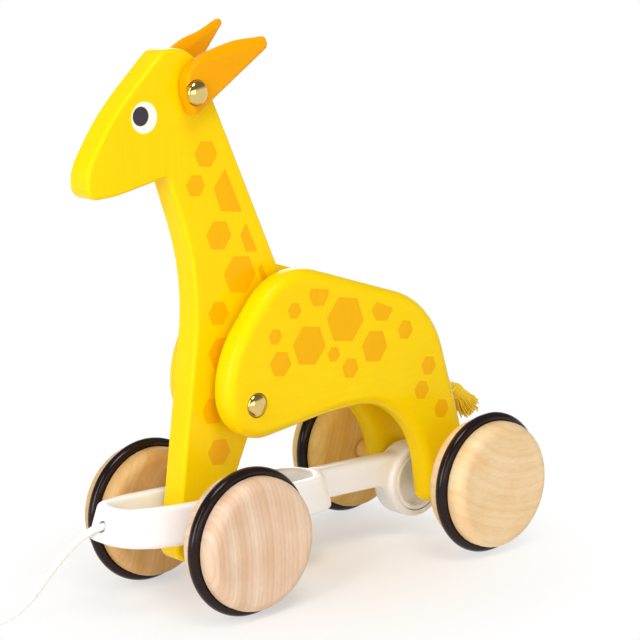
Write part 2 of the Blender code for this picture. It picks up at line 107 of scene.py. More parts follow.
def paintedBoard(name, paint, run):  # board sprayed with water-based toy lacquer, rubbed down between coats
    # satin skin that pulls a soft highlight, with faint orange peel and the grain just telling through
    material, add, place = newMaterial(name, IOR=1.5, Specular_IOR_Level=0.10)
    light, deep, tint = (linear(tone) for tone in paint)
    along = add("Mapping", {"Vector": place, "Scale": run})
    grain = add("TexNoise", {"Vector": along, "Scale": 1 / (1.6 * mm), "Detail": 4.0})
    cloud = add("TexNoise", {"Vector": place, "Scale": 1 / (35 * mm), "Detail": 2.0})
    peel = add("TexNoise", {"Vector": place, "Scale": 1 / (1.1 * mm)})
    colour = add("MixRGB", {"Fac": cloud, "Color1": deep, "Color2": light})
    streak = add("MapRange", {"Value": grain, "From Min": 0.35, "From Max": 0.7, "To Max": 0.16})
    tinted = add("MixRGB", {"Fac": streak, "Color1": colour, "Color2": tint})
    height = add("Math", {0: grain, 1: 0.35, 2: peel}, operation="MULTIPLY_ADD")
    return dressSkin(material, add, tinted, cloud, (0.17, 0.23), height, 0.10, 0.06 * mm)


def maple(name, cut):  # hard maple, turned, sanded fine and oiled
    # pale tan with uneven growth rings where the saw met them, short fibre flecks and a soft oiled sheen
    material, add, place = newMaterial(
        name, IOR=1.5, Specular_IOR_Level=0.35, Coat_Weight=0.08, Coat_Roughness=0.3)
    warm, pale, dark = (linear(cut[tone]) for tone in ("warm", "pale", "line"))
    lean = (1.0, 0.35, 1.0)  # the rings lean a little through the thickness
    flat = add("Mapping", {"Vector": place, "Location": cut["pith"], "Scale": lean})
    reach = add("VectorMath", {0: flat}, "Value", operation="LENGTH")
    drawn = add("Mapping", {"Vector": place, "Scale": cut["fibre"]})
    sway = add("TexNoise", {"Vector": drawn, "Scale": 1 / (9 * mm), "Detail": 2.0})
    years = add("TexNoise", {"W": reach, "Scale": 1 / (7 * mm), "Detail": 2.0}, noise_dimensions="1D")
    swayed = add("Math", {0: sway, 1: 2 * mm, 2: reach}, operation="MULTIPLY_ADD")
    bent = add("Math", {0: years, 1: 2 * mm, 2: swayed}, operation="MULTIPLY_ADD")  # uneven years
    turns = add("Math", {0: bent, 1: 1 / cut["ringWidth"]}, operation="MULTIPLY")
    ring = add("Math", {0: turns}, operation="FRACT")
    late = add("MapRange", {"Value": ring, "From Min": 0.45, "From Max": 0.88},
               interpolation_type="SMOOTHSTEP")
    early = add("MapRange", {"Value": ring, "From Min": 1.0, "From Max": 0.88})
    line = add("Math", {0: late, 1: early}, operation="MULTIPLY")
    hair = add("Math", {0: bent, 1: 2 * pi / (0.8 * mm)}, operation="MULTIPLY")
    fine = add("Math", {0: hair}, operation="SINE")
    band = add("TexNoise", {"W": bent, "Scale": 1 / (6 * mm), "Detail": 1.0}, noise_dimensions="1D")
    fibre = add("TexNoise", {"Vector": drawn, "Scale": 1 / (0.6 * mm), "Detail": 4.0})  # coarser than real
    fleck = add("MapRange", {"Value": fibre, "From Min": 0.42, "From Max": 0.72, "To Max": 0.15})
    patch = add("TexNoise", {"Vector": place, "Scale": 1 / (14 * mm), "Detail": 3.0})
    tone = add("Math", {0: band, 1: patch}, operation="ADD")
    mixTone = add("MapRange", {"Value": tone, "From Min": 0.55, "From Max": 1.45})
    ground = add("MixRGB", {"Fac": mixTone, "Color1": warm, "Color2": pale})
    soft = add("Math", {0: fine, 1: 0.12, 2: line}, operation="MULTIPLY_ADD")
    share = add("Math", {0: soft, 1: cut["lineShare"]}, operation="MULTIPLY", use_clamp=True)
    ringed = add("MixRGB", {"Fac": share, "Color1": ground, "Color2": dark})
    grained = add("MixRGB", {"Fac": fleck, "Color1": ringed, "Color2": dark})
    return dressSkin(material, add, grained, fibre, (0.40, 0.56), fibre, 0.12, 0.08 * mm)


def mouldedRubber(name, deep, pale):  # nitrile ring, pressed in a polished mould
    # near-black with a brown cast, a clean bright streak along the round and a faint bloom
    material, add, place = newMaterial(
        name, IOR=1.52, Specular_IOR_Level=0.30, Specular_Tint=linear("#f0d8d0"))
    bloom = add("TexNoise", {"Vector": place, "Scale": 1 / (5 * mm), "Detail": 3.0})
    skin = add("TexNoise", {"Vector": place, "Scale": 1 / (0.5 * mm)})
    colour = add("MixRGB", {"Fac": bloom, "Color1": linear(deep), "Color2": linear(pale)})
    return dressSkin(material, add, colour, bloom, (0.11, 0.16), skin, 0.02, 0.02 * mm)


def mouldedAbs(name, pale, warm):  # ABS, injection moulded in a polished tool
    # glossy warm white that shows slow sink waves and a fine skin in its highlight
    material, add, place = newMaterial(name, IOR=1.53, Coat_Weight=0.25, Coat_Roughness=0.08)
    sink = add("TexNoise", {"Vector": place, "Scale": 1 / (12 * mm)})
    skin = add("TexNoise", {"Vector": place, "Scale": 1 / (0.7 * mm), "Detail": 3.0})
    colour = add("MixRGB", {"Fac": sink, "Color1": linear(warm), "Color2": linear(pale)})
    height = add("Math", {0: skin, 1: 0.08, 2: sink}, operation="MULTIPLY_ADD")
    return dressSkin(material, add, colour, skin, (0.18, 0.30), height, 0.10, 0.15 * mm)


def turnedMetal(name, bright, dull, roughness):  # bar stock turned on a lathe and buffed
    # mirror-like with hair-fine turning marks round the axis and slightly hazed patches
    material, add, place = newMaterial(name, Metallic=1.0)
    split = add("SeparateXYZ", {"Vector": place}).node.outputs
    disc = add("CombineXYZ", {"X": split["X"], "Z": split["Z"]})
    reach = add("VectorMath", {0: disc}, "Value", operation="LENGTH")
    # the marks are drawn coarser than a tool leaves them, so that they show
    marks = add("Math", {0: reach, 1: 2 * pi / (0.35 * mm)}, operation="MULTIPLY")
    wave = add("Math", {0: marks}, operation="SINE")
    haze = add("TexNoise", {"Vector": place, "Scale": 1 / (2.5 * mm), "Detail": 3.0})
    colour = add("MixRGB", {"Fac": haze, "Color1": linear(dull), "Color2": linear(bright)})
    return dressSkin(material, add, colour, haze, (roughness, roughness + 0.06), wave, 0.012, 0.02 * mm)


def spunFibre(name, light, deep, strand):  # cotton or acrylic yarn, twisted or braided
    # matt and soft, mottled strand by strand, with hairs in relief and a faint fuzz at the edge
    material, add, place = newMaterial(
        name, IOR=1.46, Roughness=0.85, Sheen_Weight=0.25, Sheen_Roughness=0.5)
    tone = add("TexNoise", {"Vector": place, "Scale": 1 / strand, "Detail": 4.0})
    hair = add("TexNoise", {"Vector": place, "Scale": 4 / strand, "Detail": 4.0})
    shade = add("MapRange", {"Value": tone, "From Min": 0.3, "From Max": 0.65})
    colour = add("MixRGB", {"Fac": shade, "Color1": linear(deep), "Color2": linear(light)})
    bump = add("Bump", {"Height": hair, "Strength": 0.35, "Distance": 0.12 * mm})
    return dress(material, {"Base Color": colour, "Normal": bump})


# Paints are light, deep and grain tint, then how the grain is drawn out along x, y and z
yellow, printRun = ("#fad804", "#f8ce02", "#f0be00"), (1.0, 1.0, 0.1)
neckPaint = paintedBoard("yellowLacquerNeck", yellow, (1.0, 1.0, 0.07))
bodyPaint = paintedBoard("yellowLacquerBody", yellow, (0.07, 1.0, 1.0))
earPaint = paintedBoard("orangeLacquer", ("#f2ac04", "#ee9e00", "#e69200"), (0.1, 1.0, 0.25))
spotPaint = paintedBoard("amberPrint", ("#f4b802", "#f2b000", "#eba600"), printRun)
eyeWhite = paintedBoard("whitePrint", ("#fffdf4", "#fbf7e6", "#f4eeda"), printRun)
eyeDark = paintedBoard("charcoalPrint", ("#48424c", "#3c363e", "#322c34"), printRun)
rubber = mouldedRubber("nitrileRubber", "#120c0c", "#231a1a")
whiteAbs = mouldedAbs("warmWhiteAbs", "#fdfdfe", "#f9f8f8")
brass = turnedMetal("buffedBrass", "#e6cd88", "#d4b56a", 0.05)
steel = turnedMetal("drawnSteel", "#c9c8c6", "#a9a8a6", 0.22)
yarn = spunFibre("acrylicYarn", "#fddc14", "#efc304", 0.8 * mm)
cotton = spunFibre("cottonBraid", "#fbfaf8", "#ebe9e6", 0.7 * mm)
upright, level = (1.0, 0.5, 0.2), (0.2, 0.5, 1.0)  # which way the fibres run in each piece
planks = {
    "FrontLeft": {"pith": (-0.095, 0.0, 0.004), "fibre": upright, "lineShare": 0.19, "ringWidth": 2.2 * mm,
        "warm": "#dab595", "pale": "#ecd4bd", "line": "#b48a6b"},
    # far front wheel: its darker, more amber colours are partly the wood's own tone and partly painted shade
    # with painted yellow bounce from the boards
    "FrontRight": {"pith": (0.070, 0.0, 0.040), "fibre": upright, "lineShare": 0.16, "ringWidth": 2.6 * mm,
        "warm": "#d0a05e", "pale": "#e0bb82", "line": "#ab793c"},
    "RearLeft": {"pith": (0.016, 0.0, -0.052), "fibre": level, "lineShare": 0.10, "ringWidth": 3.4 * mm,
        "warm": "#e6c088", "pale": "#f3dcb4", "line": "#c2935a"},
    # far rear wheel: its darker, more amber colours are partly the wood's own tone and partly painted shade
    # with painted yellow bounce from the boards
    "RearRight": {"pith": (-0.080, 0.0, -0.030), "fibre": upright, "lineShare": 0.16, "ringWidth": 2.6 * mm,
        "warm": "#ebbd5c", "pale": "#f5d284", "line": "#c69244"},
    "Small": {"pith": (0.030, 0.0, 0.045), "fibre": level, "lineShare": 0.20, "ringWidth": 2.6 * mm,
        "warm": "#dfba88", "pale": "#e9cba2", "line": "#bd8f5c"},
}
woods = {name: maple("maple" + name, plank) for name, plank in planks.items()}
print("materials made:", len(bpy.data.materials))


def makePiece(name, bm, material, place=(0, 0, 0), sharpAngle=35):
    bmesh.ops.recalc_face_normals(bm, faces=bm.faces[:])
    mesh = bpy.data.meshes.new(name)
    bm.to_mesh(mesh)
    bm.free()
    mesh.materials.append(material)
    smoothFaces(mesh, sharpAngle)
    piece = bpy.data.objects.new(name, mesh)
    scene.collection.objects.link(piece)
    piece.location = place
    return piece


def smoothFaces(mesh, sharpAngle=35):
    mesh.shade_smooth()
    mesh.set_sharp_from_angle(angle=radians(sharpAngle))


def settle(piece):  # modifiers become mesh
    graph = bpy.context.evaluated_depsgraph_get()
    mesh = bpy.data.meshes.new_from_object(piece.evaluated_get(graph))
    piece.modifiers.clear()
    piece.data = mesh
    smoothFaces(mesh)


def carve(piece, tools, operation="DIFFERENCE"):
    for tool in tools:
        cut = piece.modifiers.new("carve", "BOOLEAN")
        cut.object = tool
        cut.operation = operation
        cut.solver = "EXACT"
    settle(piece)
    for tool in tools:
        bpy.data.objects.remove(tool)


def soften(piece, grainSize, rounds):  # even small mesh with its edges and inner corners rounded
    material = piece.data.materials[0]
    even = piece.modifiers.new("even", "REMESH")
    even.mode = "VOXEL"
    even.voxel_size = grainSize
    relax = piece.modifiers.new("relax", "SMOOTH")
    relax.factor = 0.5
    relax.iterations = rounds
    settle(piece)
    piece.data.materials.clear()
    piece.data.materials.append(material)


def fit(piece, body, slotName, *nodes):  # joins a piece to its body and hides the solids it stands for; slotName is not used
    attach(piece, body)
    if nodes:
        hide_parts(*nodes)
    return piece


def spokes(count):  # even angles round a full turn
    return [2 * pi * k / count for k in range(count)]


def swing(first, second, turn):  # from one direction towards another
    return first * cos(turn) + second * sin(turn)


def roundedOutline(corners, inset, arcStep=5):  # corners are x, z, radius; runs anticlockwise
    count = len(corners)
    points = [Vector((x, z)) for x, z, _ in corners]
    along = [(points[(i + 1) % count] - points[i]).normalized() for i in range(count)]
    inward = [Vector((-d.y, d.x)) for d in along]
    turns, moved, reaches = [], [], []
    for i in range(count):
        before, after = along[i - 1], along[i]
        turns.append(atan2(before.x * after.y - before.y * after.x, before.dot(after)))
        bisector = inward[i - 1] + inward[i]
        moved.append(points[i] + bisector * (inset / (1 + inward[i - 1].dot(inward[i]))))
        radius = max(corners[i][2] - copysign(inset, turns[i]), 0.2 * mm)  # never quite sharp
        reaches.append(radius * tan(abs(turns[i]) / 2))
    edges = [(moved[(i + 1) % count] - moved[i]).length for i in range(count)]
    shares = [min(1.0, 0.98 * edges[i] / (reaches[i] + reaches[(i + 1) % count])) for i in range(count)]
    outline = []
    for i in range(count):
        reach = reaches[i] * min(shares[i - 1], shares[i])
        radius = reach / tan(abs(turns[i]) / 2)
        side = copysign(1.0, turns[i])
        centre = moved[i] - along[i - 1] * reach + inward[i - 1] * (radius * side)
        start = -inward[i - 1] * side
        steps = max(3, ceil(abs(degrees(turns[i])) / arcStep))
        for k in range(steps + 1):
            angle = turns[i] * k / steps
            arm = Vector((start.x * cos(angle) - start.y * sin(angle),
                          start.x * sin(angle) + start.y * cos(angle)))
            outline.append(centre + arm * radius)
    return outline


def boardMesh(outline, yLow, yHigh, edgeRadius, steps=7, support=0.35 * mm):  # outline(inset) keeps its count
    bends = [pi / 2 * k / steps for k in range(steps + 1)]
    layers = [(edgeRadius + support, yLow)]  # narrow ring that keeps the broad faces flat in the light
    rounds = [(edgeRadius * (1 - sin(b)), edgeRadius * (1 - cos(b))) for b in bends]
    layers += [(inset, yLow + rise) for inset, rise in rounds]
    layers += [(inset, yHigh - rise) for inset, rise in reversed(rounds)]
    layers.append((edgeRadius + support, yHigh))
    bm = bmesh.new()
    rows = [[bm.verts.new((p.x, y, p.y)) for p in outline(inset)] for inset, y in layers]
    stitch(bm, rows, wrap=False)
    bm.faces.new(rows[0])
    bm.faces.new(rows[-1])
    return bm


def plankMesh(corners, *sizes):
    return boardMesh(lambda inset: roundedOutline(corners, inset), *sizes)


def stitch(bm, rows, wrap):  # quads between closed rows
    pairs = list(zip(rows, rows[1:]))
    if wrap:
        pairs.append((rows[-1], rows[0]))
    for low, high in pairs:
        for i in range(len(low)):
            j = (i + 1) % len(low)
            corners = list(dict.fromkeys((low[i], low[j], high[j], high[i])))
            if len(corners) > 2:
                bm.faces.new(corners)


def turnedMesh(profile, segments=96, closed=False):  # radius, y pairs turned about y
    bm = bmesh.new()
    rows = []
    for radius, y in profile:
        if radius == 0:
            rows.append([bm.verts.new((0, y, 0))] * segments)
            continue
        rows.append([bm.verts.new((radius * cos(a), y, radius * sin(a))) for a in spokes(segments)])
    stitch(bm, rows, closed)
    return bm


def arc(centreRadius, centreY, radius, start, end, steps):  # points of a turned profile, angles in degrees
    bends = [radians(start + (end - start) * k / steps) for k in range(steps + 1)]
    return [(centreRadius + radius * cos(b), centreY + radius * sin(b)) for b in bends]


def rodMesh(radius, yLow, yHigh, chamfer=0.0, segments=48):
    if chamfer == 0:
        return turnedMesh([(0, yLow), (radius, yLow), (radius, yHigh), (0, yHigh)], segments)
    inner = radius - chamfer
    return turnedMesh([(0, yLow), (inner, yLow), (radius, yLow + chamfer), (radius, yHigh - chamfer),
                       (inner, yHigh), (0, yHigh)], segments)


def bushMesh(node, hole, edge):  # plain ring with broken edges, to the size of its solid
    low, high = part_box(node)
    outer = (high.x - low.x) / 2
    profile = [(hole, low.y), (outer - edge, low.y), (outer, low.y + edge), (outer, high.y - edge),
               (outer - edge, high.y), (hole, high.y)]
    return turnedMesh(profile, 64, closed=True)


def onSide(bm, side):  # the left piece's mesh, mirrored for the right
    for vert in bm.verts:
        vert.co.y *= side
    return bm


def borer(radius, yLow, yHigh, place):  # round cutter along y
    low, high = sorted((yLow, yHigh))
    return makePiece("borer", rodMesh(radius, low, high), whiteAbs, (place.x, 0, place.z))


def nearRearAxle(x, z):  # millimetres along and up
    return rearAxle + Vector((x * mm, 0, z * mm))


def smoothRoute(route, step):  # even points on a smooth curve through the route
    points = [Vector(p) for p in route]
    ends = [points[0]] + points + [points[-1]]
    dense = []
    for i in range(1, len(ends) - 2):
        first, last = ends[i], ends[i + 1]
        handleA = first + (last - ends[i - 1]) / 6
        handleB = last - (ends[i + 2] - first) / 6
        dense += interpolate_bezier(first, handleA, handleB, last, 16)[:-1]
    dense.append(points[-1])
    even, left = [dense[0]], step
    for a, b in zip(dense, dense[1:]):
        span = (b - a).length
        while span >= left and span > 0:
            even.append(a.lerp(b, left / span))
            left += step
        left -= span
    if (even[-1] - dense[-1]).length > step / 3:
        even.append(dense[-1])
    return even


def addTube(bm, points, width, sides=8, closed=False):  # width(share, turn) gives the radius
    count = len(points)
    normal = None
    rows = []
    for i, point in enumerate(points):
        before = points[i - 1] if i or closed else point
        after = points[(i + 1) % count] if i < count - 1 or closed else point
        ahead = (after - before).normalized()
        if normal is None:
            normal = ahead.orthogonal().normalized()
        normal = (normal - ahead * normal.dot(ahead)).normalized()
        across = ahead.cross(normal)
        share = i / max(1, count - 1)
        rows.append([bm.verts.new(point + swing(normal, across, turn) * width(share, turn))
                     for turn in spokes(sides)])
    stitch(bm, rows, closed)
    if not closed:
        bm.faces.new(rows[0])
        bm.faces.new(rows[-1])


def knotPoints(centre, size, axis):  # tight overhand knot
    turnTo = Vector((0, 0, 1)).rotation_difference(Vector(axis))
    points = []
    for t in spokes(72):
        x, y = sin(t) + 2 * sin(2 * t), cos(t) - 2 * cos(2 * t)
        points.append(Vector(centre) + turnTo @ (Vector((x, y, -1.4 * sin(3 * t))) * (size / 3)))
    return points


# Cord first: its route is the one the solids follow, then the coil's turns and the bead
cord = {
    "radius": 1.5 * mm,
    "exit": (0.10148, 0.0, 0.03976),
    "route": [
        (0.0973, 0.0, 0.0396), (0.1015, 0.0, 0.0398), (0.1052, -0.0014, 0.0391), (0.1088, -0.0050, 0.0357),
        (0.1127, -0.0104, 0.0292), (0.1170, -0.0162, 0.0205), (0.1213, -0.0218, 0.0113),
        (0.1262, -0.0266, 0.0046), (0.1316, -0.0301, 0.0017), (0.1398, -0.0331, 0.0016),
    ],
    "coilCentre": (0.150, -0.052),
    "rings": (18 * mm, 15 * mm),
    "levels": (1.55 * mm, 4.6 * mm),
    "inward": (290, 350),    # degrees of turning where the cord steps to the inner ring
    "upward": (570, 635),    # where it climbs to the upper layer
    "outward": (850, 920),   # where it steps back to the outer ring
    "turning": 1080,
    "bead": (0.1703, -0.0338, 0.0070), "beadRadius": 7.0 * mm, "beadHole": 1.9 * mm, "beadEdge": 0.5 * mm,
    "braid": 2.6 * mm,       # length of one crossing of the braid
    "step": 0.6 * mm, "stub": 1.2 * mm,  # how close the path's points lie, and how far it runs past the bead
    "knotSize": 2.3 * mm, "knotStrand": 1.25 * mm, "knotReach": 2.4 * mm,  # reach is past the bead
    "tieTurn": 100, "tieSlack": 0.3 * mm, "tieStrand": 0.35 * mm, "tiePitch": 0.63 * mm,
}


def ease(value, start, end):
    share = min(1.0, max(0.0, (value - start) / (end - start)))
    return share * share * (3 - 2 * share)


def cordPath():
    outer, inner = cord["rings"]
    low, high = cord["levels"]
    cx, cy = cord["coilCentre"]
    path = [Vector(p) for p in cord["route"]]
    for angle in range(0, cord["turning"] + 1, 10):
        step = ease(angle, *cord["inward"]) - ease(angle, *cord["outward"])
        radius = outer + (inner - outer) * step
        level = low + (high - low) * ease(angle, *cord["upward"])
        turn = radians(angle)
        path.append(Vector((cx + radius * sin(turn), cy + radius * cos(turn), level)))
    bead = Vector(cord["bead"])
    last = path[-1]
    path.append(last.lerp(bead, 0.32) - Vector((0, 0, 0.15 * mm)))  # off the coil in a low curve
    path.append(Vector((bead.x - 1.1 * cord["beadRadius"], bead.y, bead.z - 0.1 * mm)))  # level into the bead
    path.append(bead.copy())
    path.append(bead + Vector((cord["beadRadius"] + cord["stub"], 0, 0)))
    return smoothRoute(path, cord["step"])


def makeCord():
    path = cordPath()
    length = sum((b - a).length for a, b in zip(path, path[1:]))
    crossings = length / cord["braid"] * pi

    def braided(share, turn):  # two sets of strands crossing, as geometry
        over = abs(sin(4 * turn + crossings * share) * sin(4 * turn - crossings * share))
        return cord["radius"] * (0.93 + 0.07 * over)

    bm = bmesh.new()
    addTube(bm, path, braided, sides=20)
    line = makePiece("pullCord", bm, cotton, sharpAngle=80)
    fit(line, "chassis", "white_cord", "pull_cord", "cord_coil")

    low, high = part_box("nose_knot")
    bead = Vector(cord["bead"])
    endPlace = bead + Vector((cord["beadRadius"] + cord["knotReach"], 0, 0))
    for name, place, nodes in (("noseKnot", (low + high) / 2, ["nose_knot"]), ("endKnot", endPlace, [])):
        bm = bmesh.new()
        strand = knotPoints(place, cord["knotSize"], (1, 0, 0))
        addTube(bm, strand, lambda share, turn: cord["knotStrand"], sides=12, closed=True)
        fit(makePiece(name, bm, cotton, sharpAngle=80), "chassis", "white_cord", *nodes)

    hole, radius, edge = cord["beadHole"], cord["beadRadius"], cord["beadEdge"]
    bend = degrees(acos((hole + edge) / radius))
    profile = arc(0, 0, radius, -bend, bend, 28)
    lip = profile[-1][1]
    profile += [(hole, lip - edge), (hole, edge - lip)]
    ball = makePiece("cordBead", turnedMesh(profile, 64, closed=True), woods["Small"], bead)
    ball.rotation_euler.z = pi / 2
    fit(ball, "chassis", "maple", "cord_bead")

    tieTurn = radians(cord["tieTurn"])  # three strands lie together here
    outward = Vector((sin(tieTurn), cos(tieTurn), 0))
    centre = Vector((*cord["coilCentre"], 0))
    wrap = cord["radius"] + cord["tieSlack"]
    (outer, inner), (below, above) = cord["rings"], cord["levels"]
    rounds = []
    for reach, height in ((outer, below), (inner, below), (inner, above)):
        for turn in spokes(24):
            lift = max(height + wrap * sin(turn), cord["tieStrand"])  # not under the floor
            rounds.append(Vector((reach + wrap * cos(turn), lift)))
    hull = [rounds[i] for i in convex_hull_2d(rounds)]
    bm = bmesh.new()
    for shift in (-1, 0, 1):  # three wraps side by side
        side = Vector((outward.y, -outward.x, 0)) * (shift * cord["tiePitch"])
        loop = [centre + outward * p.x + side + Vector((0, 0, p.y)) for p in hull]
        addTube(bm, loop, lambda share, turn: cord["tieStrand"], sides=8, closed=True)
    tie = fit(makePiece("cordTie", bm, rubber, sharpAngle=80), "chassis", "black_rubber")
    print("cord laid, length", round(length, 3))


makeCord()


# Chassis, in its own frame: x along the line of the two axle centres, origin on the front axle
chassis = {
    "loopFront": 47.2 * mm, "loopRear": 65.0 * mm, "loopHalfWidth": 16.1 * mm, "loopWall": 5.0 * mm,
    "loopSquareness": 3.5, "loopTop": 13.8 * mm, "loopBottom": 2.2 * mm, "loopEdge": 1.6 * mm,
    "endLean": 1.8 * mm, "sideLean": 0.4 * mm,  # mould draft: in at the top, out at the bottom
    "noseLift": 3.3 * mm, "noseRise": 1.0 * mm, "stations": 180,
    "bossRadius": 6.5 * mm, "bossReach": 22.2 * mm,
    "railWidth": 9.2 * mm, "railTop": 13.3 * mm, "railBottom": 0.1 * mm, "railRound": 3.2 * mm,
    "soleTop": 6.0 * mm, "soleRound": 1.2 * mm, "soleInset": 0.05 * mm,  # the rail's flat underside
    "flare": 9.0 * mm, "ringRadius": 16.2 * mm, "ringWidth": 12.0 * mm, "ringEdge": 0.8 * mm,
    "drumRadius": 13.2 * mm, "drumWidth": 11.8 * mm, "drumWall": 2.2 * mm, "drumWeb": 2.0 * mm,
    "drumEdge": 0.5 * mm, "drumBoss": 4.3 * mm, "drumBossEdge": 0.4 * mm, "bossEdge": 0.5 * mm,
    "cordHole": 2.4 * mm, "cordHoleHeight": 7.5 * mm, "axleRadius": 2.0 * mm,
    "grainSize": 0.6 * mm, "softening": 10,
}
chassisLine = frontAxle - drumCentre
chassisTilt = atan2(chassisLine.z, chassisLine.x)
chassisFrame = Matrix.Translation(frontAxle) @ Matrix.Rotation(-chassisTilt, 4, "Y")
ringX = -chassisLine.length


def loopMesh():
    c = chassis
    middle = (c["loopFront"] - c["loopRear"]) / 2
    half = (c["loopFront"] + c["loopRear"]) / 2
    power = 2 / c["loopSquareness"]
    bm = bmesh.new()
    rows = []
    for turn in spokes(c["stations"]):
        cx = copysign(abs(cos(turn)) ** power, cos(turn))
        sy = copysign(abs(sin(turn)) ** power, sin(turn))
        ends, sides = half - c["endLean"], c["loopHalfWidth"] - c["sideLean"]
        outerTop = Vector((middle + ends * cx, sides * sy))
        outerLow = Vector((middle + (half + c["endLean"]) * cx, (c["loopHalfWidth"] + c["sideLean"]) * sy))
        inner = Vector((middle + (ends - c["loopWall"]) * cx, (sides - c["loopWall"]) * sy))
        across = (outerTop - inner).normalized()
        low = -c["loopBottom"] + c["noseLift"] * max(0.0, cx) ** 4
        high = c["loopTop"] + c["noseRise"] * cx
        row = []  # the wall's section, with four rounded corners
        for wall, edge, start in ((outerLow, -1, -90), (outerTop, 1, 0), (inner, 1, 90), (inner, -1, 180)):
            base = wall - across * (c["loopEdge"] * (-1 if wall is inner else 1))
            level = high - c["loopEdge"] if edge > 0 else low + c["loopEdge"]
            for step in range(7):
                bend = radians(start + 15 * step)
                spot = base + across * (c["loopEdge"] * cos(bend))
                row.append(bm.verts.new((spot.x, spot.y, level + c["loopEdge"] * sin(bend))))
        rows.append(row)
    stitch(bm, rows, wrap=True)
    return bm


def arcPoints(centre, radius, start, end, steps):
    bends = [start + (end - start) * k / steps for k in range(steps + 1)]
    return [centre + Vector((cos(b), sin(b))) * radius for b in bends]


def railOutline(inset, height):  # rail that opens into the ring in two flares
    c = chassis
    start = c["loopWall"] / 2 - c["loopRear"]
    top, bottom = height - inset, c["railBottom"] + inset
    radius, flare = c["ringRadius"] - inset, c["flare"] + inset
    middle = Vector((ringX, 0))
    reach = radius + flare
    topAngle = asin((top + flare) / reach)
    lowAngle = asin((bottom - flare) / reach)
    topCentre = middle + Vector((cos(topAngle), sin(topAngle))) * reach
    lowCentre = middle + Vector((cos(lowAngle), sin(lowAngle))) * reach
    outline = [Vector((start, top))]
    outline += arcPoints(topCentre, flare, -pi / 2, topAngle - pi, 10)
    outline += arcPoints(middle, radius, topAngle, 2 * pi + lowAngle, 72)[1:]
    outline += arcPoints(lowCentre, flare, pi + lowAngle, pi / 2, 14)[1:]
    outline.append(Vector((start, bottom)))
    return outline


def makeChassis():
    c = chassis
    shell = makePiece("chassisShell", loopMesh(), whiteAbs)
    added = []
    halfRail = c["railWidth"] / 2
    bars = (("railTop", "railRound", halfRail), ("soleTop", "soleRound", halfRail - c["soleInset"]))
    for height, edge, half in bars:
        bar = boardMesh(lambda inset: railOutline(inset, c[height]), -half, half, c[edge])
        added.append(makePiece("rail", bar, whiteAbs))
    half = c["ringWidth"] / 2
    ring = rodMesh(c["ringRadius"], -half, half, c["ringEdge"], 128)
    added.append(makePiece("ring", ring, whiteAbs, (ringX, 0, 0)))
    for side, label in flanks:
        boss = rodMesh(c["bossRadius"], neckFace + gap, c["bossReach"], c["bossEdge"], 72)
        added.append(makePiece(label + "Boss", onSide(boss, side), whiteAbs))
    carve(shell, added, "UNION")
    soften(shell, c["grainSize"], c["softening"])  # fillets as the mould gives them
    axleBore = borer(c["axleRadius"] + gap, -2 * c["bossReach"], 2 * c["bossReach"], Vector())
    drumBore = rodMesh(c["drumRadius"] + gap, -c["ringWidth"], c["ringWidth"], 0, 128)
    drumBore = makePiece("drumBore", drumBore, whiteAbs, (ringX, 0, 0))
    cordBore = rodMesh(c["cordHole"], -1.2 * c["loopWall"], 1.2 * c["loopWall"])
    cordBore = makePiece("cordBore", cordBore, whiteAbs, (c["loopFront"], 0, c["cordHoleHeight"]))
    cordBore.rotation_euler.z = pi / 2
    carve(shell, [axleBore, drumBore, cordBore])
    shell.data.transform(chassisFrame)
    fit(shell, "chassis", "white_plastic", "chassis")

    outer, half, web, edge = c["drumRadius"], c["drumWidth"] / 2, c["drumWeb"], c["drumEdge"]
    rim = outer - c["drumWall"]
    profile = [(0, -web), (rim - edge, -web), (rim, -web - edge), (rim, edge - half)]
    profile += [(rim + edge, -half), (outer - edge, -half), (outer, edge - half)]
    profile += [(radius, -y) for radius, y in reversed(profile)]
    drum = makePiece("drumCup", turnedMesh(profile, 128), whiteAbs, drumCentre)
    boss = rodMesh(c["drumBoss"], -half, half, c["drumBossEdge"])
    carve(drum, [makePiece("drumBoss", boss, whiteAbs, rearAxle)], "UNION")
    carve(drum, [borer(c["axleRadius"] + gap, -2 * half, 2 * half, rearAxle)])
    fit(drum, "drum", "white_plastic", "eccentric_drum")
    print("chassis moulded")


makeChassis()


# Wheels with their rubber rings, axles and spacers
wheel = {
    "radius": 26.8 * mm, "width": 20.0 * mm, "round": 4.2 * mm, "lip": 0.35 * mm,
    "ringRadius": 30.0 * mm, "ringSection": 2.5 * mm, "axleRadius": 2.0 * mm, "axleBite": 11.0 * mm,
    "edge": 0.4 * mm, "bushEdge": 0.5 * mm, "segments": 160,
}


def wheelProfile():
    radius, lip, edge, half = wheel["radius"], wheel["lip"], wheel["edge"], wheel["width"] / 2
    seat = radius - wheel["round"]
    ringCentre = wheel["ringRadius"] - wheel["ringSection"]
    groove = wheel["ringSection"] + gap
    bend = degrees(acos((radius - ringCentre) / groove))
    bottom = wheel["axleBite"] - half + gap
    hole = wheel["axleRadius"] + gap
    profile = [(0, bottom), (hole, bottom), (hole, edge - half), (hole + edge, -half), (seat - edge, -half)]
    profile += arc(seat, wheel["round"] - half, wheel["round"], -90, 0, 9)
    grooveArc = arc(ringCentre, 0, groove, 360 - bend, bend, 12)
    lipY, soft = grooveArc[0][1], 0.3 * lip
    profile += [(radius, lipY - lip), (radius - soft, lipY - soft), *grooveArc[1:-1]]
    profile += [(radius - soft, soft - lipY), (radius, lip - lipY)]
    profile += arc(seat, half - wheel["round"], wheel["round"], 0, 90, 9)
    return profile + [(seat - edge, half), (0, half)]


